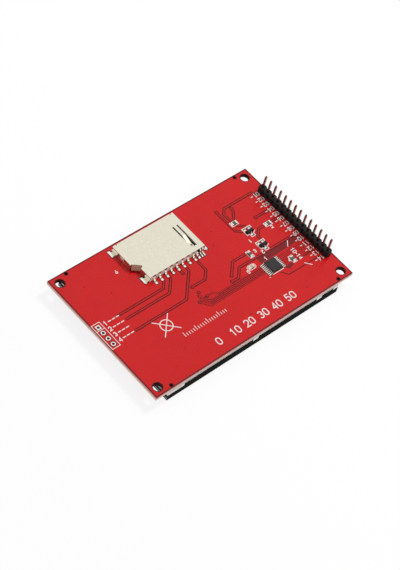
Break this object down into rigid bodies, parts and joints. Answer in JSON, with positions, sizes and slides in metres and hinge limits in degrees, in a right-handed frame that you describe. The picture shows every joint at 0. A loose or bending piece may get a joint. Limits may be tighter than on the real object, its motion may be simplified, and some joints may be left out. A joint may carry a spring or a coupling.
{
  "type": "tft display module",
  "caption": "Touch screen display module on a red circuit board with a pin header, a memory card socket and a touch controller.",
  "frame": {"origin": "on the face of the screen, below the centre of the circuit board", "axes": "+Z from the screen to the component side, +X along the board to the header, +Y to the mouth of the card socket"},
  "size_m": [0.0892, 0.0553, 0.0139],
  "materials": {
    "board_red": "glossy red solder mask over glass epoxy",
    "tinned": "tinned copper",
    "solder": "bright solder",
    "strip_black": "black moulded nylon",
    "pin_metal": "gold-flashed brass pins",
    "shell_steel": "nickel-plated sheet steel",
    "housing_cream": "cream moulded polymer",
    "contact_metal": "plated phosphor bronze",
    "package_black": "dark moulding compound",
    "lead_metal": "tin-plated leads",
    "resistor_body": "dark overglaze on ceramic",
    "capacitor_body": "tan ceramic",
    "tape_white": "white foam tape",
    "tape_black": "black film tape",
    "frame_white": "white moulded frame",
    "reflector_white": "white reflector film",
    "light_clear": "clear acrylic",
    "film_white": "milky film",
    "lamp_board": "flexible lamp strip",
    "lamp_yellow": "phosphor-filled lamps",
    "polariser_dark": "dark polarising film",
    "cell_glass": "display glass, dark when off",
    "driver_grey": "bare silicon",
    "flex_amber": "amber flexible circuit",
    "touch_clear": "clear touch glass",
    "touch_film": "clear film over a dark screen"
  },
  "bodies": {
    "root": {"circuit_board": "board_red", "card_header_holes": "tinned", "solder_lands": "solder", "header_strip": "strip_black", "header_pins": "pin_metal", "header_solder": "solder", "socket_shell": "shell_steel", "socket_housing": "housing_cream", "socket_contacts": "contact_metal", "socket_switch_contacts": "contact_metal", "touch_controller": "package_black", "touch_controller_leads": "lead_metal", "regulator": "package_black", "regulator_leads": "lead_metal", "backlight_transistor": "package_black", "backlight_transistor_leads": "lead_metal", "resistors": "resistor_body", "resistor_caps": "lead_metal", "capacitor": "capacitor_body", "capacitor_caps": "lead_metal", "mounting_tape": "tape_white", "back_reflector": "reflector_white", "backlight_frame": "frame_white", "light_guide": "light_clear", "diffuser_film": "film_white", "prism_film": "film_white", "lamp_strip": "lamp_board", "backlight_lamps": "lamp_yellow", "rear_polariser": "polariser_dark", "rear_glass": "cell_glass", "front_glass": "cell_glass", "front_polariser": "polariser_dark", "driver_chip": "driver_grey", "flex_tail": "flex_amber", "touch_gasket": "tape_black", "touch_glass": "touch_clear", "touch_spacer": "tape_black", "touch_film": "touch_film", "touch_tail": "flex_amber", "edge_tape": "tape_black"}
  },
  "joints": []
}
